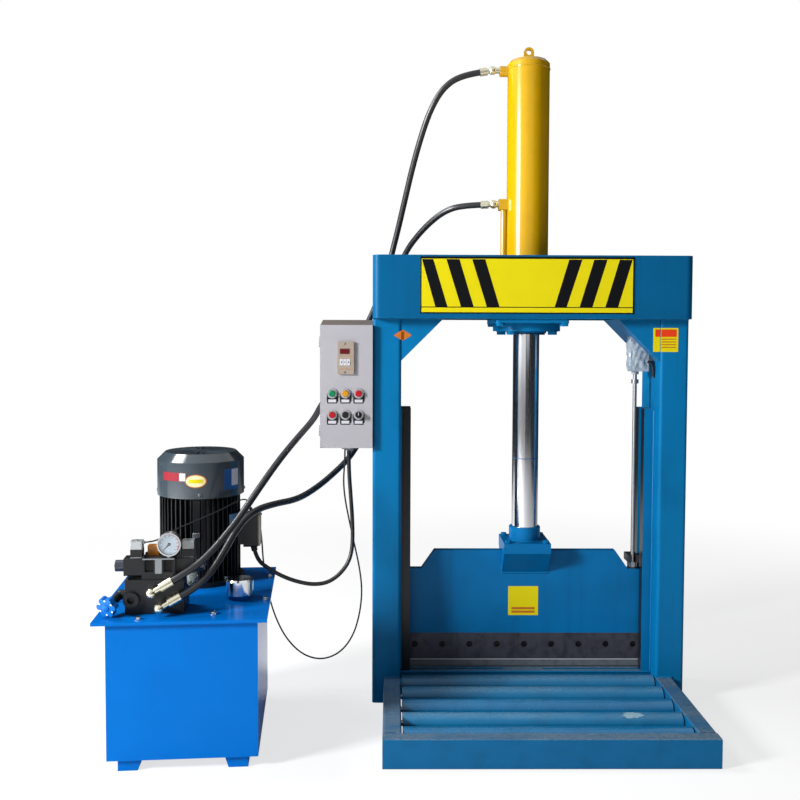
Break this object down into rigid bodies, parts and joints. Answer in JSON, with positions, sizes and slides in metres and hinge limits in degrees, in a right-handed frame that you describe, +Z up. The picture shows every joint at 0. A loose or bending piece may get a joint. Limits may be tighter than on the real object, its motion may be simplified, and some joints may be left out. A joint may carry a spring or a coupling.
{
  "type": "h-frame press",
  "caption": "Blue H-frame hydraulic guillotine press for rubber bales, with a knife on a chrome rod, roller table, control box and a separate hydraulic power unit.",
  "frame": {"origin": "on the floor under the middle of the press, at the centre of the anvil's underside", "axes": "+X to the right seen from the front, +Y away from the front, +Z up"},
  "size_m": [1.676, 0.77, 1.98],
  "materials": {
    "frame_paint": "glossy enamel, chipped and dusty",
    "sign_yellow": "semi-gloss print on sheet",
    "worn_paint": "enamel rubbed and dusty",
    "cylinder_paint": "glossy enamel",
    "tank_paint": "glossy enamel",
    "knife_paint": "glossy enamel, rubbed",
    "dark_steel": "dark oiled steel",
    "chrome": "polished",
    "machined_steel": "machined",
    "zinc_steel": "yellow zinc plated",
    "grey_enamel": "textured powder coat",
    "relay_beige": "moulded",
    "bezel_metal": "satin",
    "green_plastic": "moulded",
    "yellow_plastic": "moulded",
    "red_plastic": "moulded",
    "black_plastic": "moulded",
    "switch_plastic": "film-wrapped",
    "motor_enamel": "semi-gloss on castings",
    "cowl_enamel": "glossy on pressed steel",
    "valve_black": "phosphated",
    "blue_plastic": "moulded",
    "hose_rubber": "satin",
    "cable_black": "satin"
  },
  "bodies": {
    "frame": {"anvil_beam": "worn_paint", "control_enclosure": "grey_enamel", "control_gear": "machined_steel", "corner_gussets": "frame_paint", "cylinder_barrel": "cylinder_paint", "cylinder_mount_plate": "frame_paint", "directional_valve": "valve_black", "front_top_channel": "frame_paint", "gear_pump": "dark_steel", "guide_bars": "frame_paint", "hose_a": "hose_rubber", "hose_b": "hose_rubber", "hose_fittings": "zinc_steel", "left_column": "frame_paint", "lifting_eye": "cylinder_paint", "limit_switch": "switch_plastic", "manifold_block": "valve_black", "motor_body": "motor_enamel", "motor_cable": "cable_black", "motor_cowl": "cowl_enamel", "oil_tank": "tank_paint", "pressure_gauge": "zinc_steel", "rear_top_channel": "frame_paint", "relief_valve": "black_plastic", "right_column": "frame_paint", "rod_gland": "knife_paint", "roller_axles": "machined_steel", "sign_board": "sign_yellow", "signal_cable": "cable_black", "solenoid_coils": "black_plastic", "table_frame": "worn_paint", "tank_lid": "tank_paint", "valve_wire": "cable_black"},
    "knife": {"piston": "machined_steel", "piston_rod": "chrome", "rod_collar": "knife_paint", "knife_bracket": "knife_paint", "knife_holder": "knife_paint", "blade": "dark_steel", "trip_fork": "dark_steel"},
    "trip_rod": {"trip_rod": "machined_steel"},
    "roller_1": {"roller_1": "worn_paint"},
    "roller_2": {"roller_2": "worn_paint"},
    "roller_3": {"roller_3": "worn_paint"},
    "roller_4": {"roller_4": "worn_paint"},
    "roller_5": {"roller_5": "worn_paint"},
    "door": {"control_door": "grey_enamel", "timer_relay": "relay_beige", "button_bodies": "bezel_metal"},
    "green_button": {"green_button": "green_plastic"},
    "yellow_button": {"yellow_button": "yellow_plastic"},
    "red_button": {"red_button": "red_plastic"},
    "lower_red_button": {"lower_red_button": "red_plastic"},
    "black_button": {"black_button": "black_plastic"},
    "selector": {"selector_switch": "black_plastic"},
    "door_lock": {"door_lock": "machined_steel"},
    "rotor": {"motor_rotor": "dark_steel"},
    "filler_cap": {"filler_cap": "chrome"},
    "relief_knob": {"relief_knob": "blue_plastic"},
    "gauge_needle": {"gauge_needle": "black_plastic"}
  },
  "joints": [
    {"name": "knife_slide", "type": "slide", "parent": "frame", "child": "knife", "axis": [0, 0, 1], "range_m": [0, 0.52]},
    {"name": "trip_rod_slide", "type": "slide", "parent": "frame", "child": "trip_rod", "axis": [0, 0, -1], "range_m": [0, 0.006], "stiffness_N_per_m": 3000},
    {"name": "roller_1_spin", "type": "hinge", "parent": "frame", "child": "roller_1", "pos_m": [0, -0.088, 0.0495], "axis": [1, 0, 0], "continuous": true},
    {"name": "roller_2_spin", "type": "hinge", "parent": "frame", "child": "roller_2", "pos_m": [0, -0.1835, 0.0495], "axis": [1, 0, 0], "continuous": true},
    {"name": "roller_3_spin", "type": "hinge", "parent": "frame", "child": "roller_3", "pos_m": [0, -0.279, 0.0495], "axis": [1, 0, 0], "continuous": true},
    {"name": "roller_4_spin", "type": "hinge", "parent": "frame", "child": "roller_4", "pos_m": [0, -0.3745, 0.0495], "axis": [1, 0, 0], "continuous": true},
    {"name": "roller_5_spin", "type": "hinge", "parent": "frame", "child": "roller_5", "pos_m": [0, -0.47, 0.0495], "axis": [1, 0, 0], "continuous": true},
    {"name": "door_hinge", "type": "hinge", "parent": "frame", "child": "door", "pos_m": [-0.628, -0.107, 0.955], "axis": [0, 0, -1], "range_deg": [0, 110]},
    {"name": "green_button_press", "type": "slide", "parent": "door", "child": "green_button", "axis": [0, 1, 0], "range_m": [0, 0.004], "stiffness_N_per_m": 800},
    {"name": "yellow_button_press", "type": "slide", "parent": "door", "child": "yellow_button", "axis": [0, 1, 0], "range_m": [0, 0.004], "stiffness_N_per_m": 800},
    {"name": "red_button_press", "type": "slide", "parent": "door", "child": "red_button", "axis": [0, 1, 0], "range_m": [0, 0.004], "stiffness_N_per_m": 800},
    {"name": "lower_red_button_press", "type": "slide", "parent": "door", "child": "lower_red_button", "axis": [0, 1, 0], "range_m": [0, 0.004], "stiffness_N_per_m": 800},
    {"name": "black_button_press", "type": "slide", "parent": "door", "child": "black_button", "axis": [0, 1, 0], "range_m": [0, 0.004], "stiffness_N_per_m": 800},
    {"name": "selector_turn", "type": "hinge", "parent": "door", "child": "selector", "pos_m": [-0.511, -0.121, 0.872], "axis": [0, 1, 0], "range_deg": [-45, 45]},
    {"name": "door_lock_turn", "type": "hinge", "parent": "door", "child": "door_lock", "pos_m": [-0.484, -0.121, 0.862], "axis": [0, 1, 0], "range_deg": [0, 90]},
    {"name": "rotor_spin", "type": "hinge", "parent": "frame", "child": "rotor", "pos_m": [-0.97451, -0.13257, 0.5], "axis": [0, 0, 1], "continuous": true},
    {"name": "filler_cap_turn", "type": "hinge", "parent": "frame", "child": "filler_cap", "pos_m": [-0.82826, -0.34676, 0.4], "axis": [0, 0, 1], "range_deg": [0, 120]},
    {"name": "relief_knob_turn", "type": "hinge", "parent": "frame", "child": "relief_knob", "pos_m": [-1.11571, -0.47972, 0.4325], "axis": [-0.288, -0.9245, -0.2497], "continuous": true},
    {"name": "gauge_needle_turn", "type": "hinge", "parent": "frame", "child": "gauge_needle", "pos_m": [-0.98638, -0.49161, 0.566], "axis": [-0.0785, 0.9969, 0], "range_deg": [0, 270], "stiffness_Nm_per_rad": 0.0002}
  ]
}
